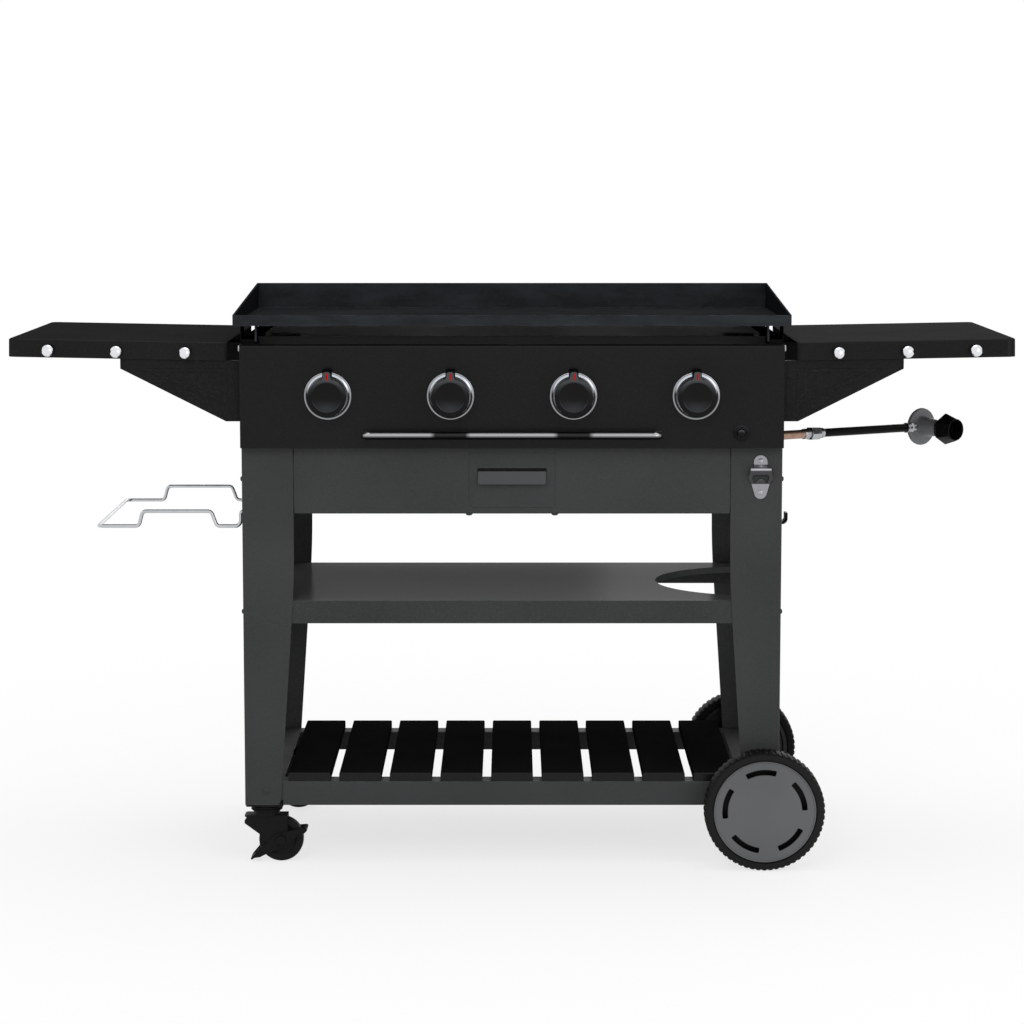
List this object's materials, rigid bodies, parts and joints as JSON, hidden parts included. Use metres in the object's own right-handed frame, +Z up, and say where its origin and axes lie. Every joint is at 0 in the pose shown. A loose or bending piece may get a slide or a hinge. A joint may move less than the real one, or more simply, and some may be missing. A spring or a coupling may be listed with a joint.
{
  "type": "outdoor gas griddle station",
  "caption": "Wheeled outdoor gas griddle cart with a steel cooking plate, control knobs, side shelves, storage shelves, a drawer and a tank hose.",
  "frame": {"origin": "on the floor, under the middle of the overall box", "axes": "+X to the right as seen by the cook, +Y to the back, +Z up"},
  "size_m": [1.6528, 0.582, 0.951],
  "materials": {
    "frame_paint": "satin powder coat with a fine sparkle",
    "gloss_paint": "gloss black enamel",
    "shield_steel": "dull plated sheet",
    "seasoned_steel": "rough seasoned cooking steel",
    "burner_steel": "satin stainless tube",
    "ceramic": "matte white ceramic",
    "valve_brass": "machined",
    "chrome": "polished",
    "knob_plastic": "satin moulded",
    "black_steel": "black powder coat",
    "axle_steel": "zinc plated",
    "hub_plastic": "moulded grey",
    "tyre_rubber": "black rubber",
    "caster_plastic": "hard moulded tread",
    "copper": "drawn copper tube with a plated nut",
    "hose_rubber": "smooth black hose",
    "regulator_grey": "grey painted casting"
  },
  "bodies": {
    "cart": {"leg_front_left": "frame_paint", "leg_rear_left": "frame_paint", "leg_front_right": "frame_paint", "leg_rear_right": "frame_paint", "front_apron": "frame_paint", "rear_apron": "frame_paint", "end_aprons": "frame_paint", "mid_shelf": "frame_paint", "bottom_frame": "frame_paint", "firebox_side_left": "frame_paint", "firebox_side_right": "frame_paint", "firebox_back": "frame_paint", "shelf_brackets": "frame_paint", "bottom_slats": "gloss_paint", "control_panel": "gloss_paint", "side_shelf_left": "gloss_paint", "side_shelf_right": "gloss_paint", "front_shield": "shield_steel", "drip_chute": "shield_steel", "drawer_runners": "shield_steel", "griddle_plate": "seasoned_steel", "burners": "burner_steel", "gas_manifold": "burner_steel", "igniter_electrodes": "ceramic", "gas_valves": "valve_brass", "knob_bezels": "chrome", "towel_bar": "chrome", "shelf_hooks": "chrome", "wire_rack": "chrome", "bottle_opener": "chrome", "igniter_housing": "knob_plastic", "tank_hook": "black_steel", "caster_plates": "black_steel", "wheel_axle": "axle_steel", "gas_inlet_pipe": "copper", "gas_hose": "hose_rubber", "regulator": "regulator_grey"},
    "push_1": {"stem_seat_1": "valve_brass"},
    "push_2": {"stem_seat_2": "valve_brass"},
    "push_3": {"stem_seat_3": "valve_brass"},
    "push_4": {"stem_seat_4": "valve_brass"},
    "knob_1": {"knob_1": "knob_plastic"},
    "knob_2": {"knob_2": "knob_plastic"},
    "knob_3": {"knob_3": "knob_plastic"},
    "knob_4": {"knob_4": "knob_plastic"},
    "igniter": {"igniter_button": "knob_plastic"},
    "drawer": {"drawer_front": "frame_paint", "drawer_tray": "shield_steel", "drawer_handle": "frame_paint"},
    "front_swivel": {"caster_front_fork": "black_steel"},
    "front_roller": {"caster_front_wheel": "caster_plastic"},
    "front_brake": {"caster_front_pedal": "black_steel"},
    "rear_swivel": {"caster_rear_fork": "black_steel"},
    "rear_roller": {"caster_rear_wheel": "caster_plastic"},
    "rear_brake": {"caster_rear_pedal": "black_steel"},
    "front_wheel": {"wheel_front_hub": "hub_plastic", "wheel_front_tyre": "tyre_rubber"},
    "rear_wheel": {"wheel_rear_hub": "hub_plastic", "wheel_rear_tyre": "tyre_rubber"},
    "nut": {"hand_nut": "knob_plastic"}
  },
  "joints": [
    {"name": "knob_1_push", "type": "slide", "parent": "cart", "child": "push_1", "axis": [0, 1, 0], "range_m": [0, 0.003], "stiffness_N_per_m": 500, "springref_m": -0.004},
    {"name": "knob_1_turn", "type": "hinge", "parent": "push_1", "child": "knob_1", "pos_m": [-0.302, -0.291, 0.788], "axis": [0, -1, 0], "range_deg": [0, 210]},
    {"name": "knob_2_push", "type": "slide", "parent": "cart", "child": "push_2", "axis": [0, 1, 0], "range_m": [0, 0.003], "stiffness_N_per_m": 500, "springref_m": -0.004},
    {"name": "knob_2_turn", "type": "hinge", "parent": "push_2", "child": "knob_2", "pos_m": [-0.1008, -0.291, 0.788], "axis": [0, -1, 0], "range_deg": [0, 210]},
    {"name": "knob_3_push", "type": "slide", "parent": "cart", "child": "push_3", "axis": [0, 1, 0], "range_m": [0, 0.003], "stiffness_N_per_m": 500, "springref_m": -0.004},
    {"name": "knob_3_turn", "type": "hinge", "parent": "push_3", "child": "knob_3", "pos_m": [0.1008, -0.291, 0.788], "axis": [0, -1, 0], "range_deg": [0, 210]},
    {"name": "knob_4_push", "type": "slide", "parent": "cart", "child": "push_4", "axis": [0, 1, 0], "range_m": [0, 0.003], "stiffness_N_per_m": 500, "springref_m": -0.004},
    {"name": "knob_4_turn", "type": "hinge", "parent": "push_4", "child": "knob_4", "pos_m": [0.302, -0.291, 0.788], "axis": [0, -1, 0], "range_deg": [0, 210]},
    {"name": "igniter_press", "type": "slide", "parent": "cart", "child": "igniter", "axis": [0, 1, 0], "range_m": [0, 0.003], "stiffness_N_per_m": 500, "springref_m": -0.004},
    {"name": "drawer_slide", "type": "slide", "parent": "cart", "child": "drawer", "axis": [0, -1, 0], "range_m": [0, 0.22]},
    {"name": "caster_front_swivel", "type": "hinge", "parent": "cart", "child": "front_swivel", "pos_m": [-0.4126, -0.205, 0.09], "axis": [0, 0, 1], "continuous": true},
    {"name": "caster_front_roll", "type": "hinge", "parent": "front_swivel", "child": "front_roller", "pos_m": [-0.3882, -0.205, 0.0375], "axis": [0, 1, 0], "continuous": true},
    {"name": "caster_front_brake", "type": "hinge", "parent": "front_swivel", "child": "front_brake", "pos_m": [-0.3882, -0.205, 0.0375], "axis": [0, 1, 0], "range_deg": [0, 18]},
    {"name": "wheel_front_spin", "type": "hinge", "parent": "cart", "child": "front_wheel", "pos_m": [0.4191, -0.2685, 0.1], "axis": [0, 1, 0], "continuous": true},
    {"name": "caster_rear_swivel", "type": "hinge", "parent": "cart", "child": "rear_swivel", "pos_m": [-0.4126, 0.205, 0.09], "axis": [0, 0, 1], "continuous": true},
    {"name": "caster_rear_roll", "type": "hinge", "parent": "rear_swivel", "child": "rear_roller", "pos_m": [-0.3882, 0.205, 0.0375], "axis": [0, 1, 0], "continuous": true},
    {"name": "caster_rear_brake", "type": "hinge", "parent": "rear_swivel", "child": "rear_brake", "pos_m": [-0.3882, 0.205, 0.0375], "axis": [0, 1, 0], "range_deg": [0, 18]},
    {"name": "wheel_rear_spin", "type": "hinge", "parent": "cart", "child": "rear_wheel", "pos_m": [0.4191, 0.2685, 0.1], "axis": [0, 1, 0], "continuous": true},
    {"name": "hand_nut_spin", "type": "hinge", "parent": "cart", "child": "nut", "pos_m": [0.74669, -0.03292, 0.71281], "axis": [0.6159, -0.7878, 0], "continuous": true}
  ]
}
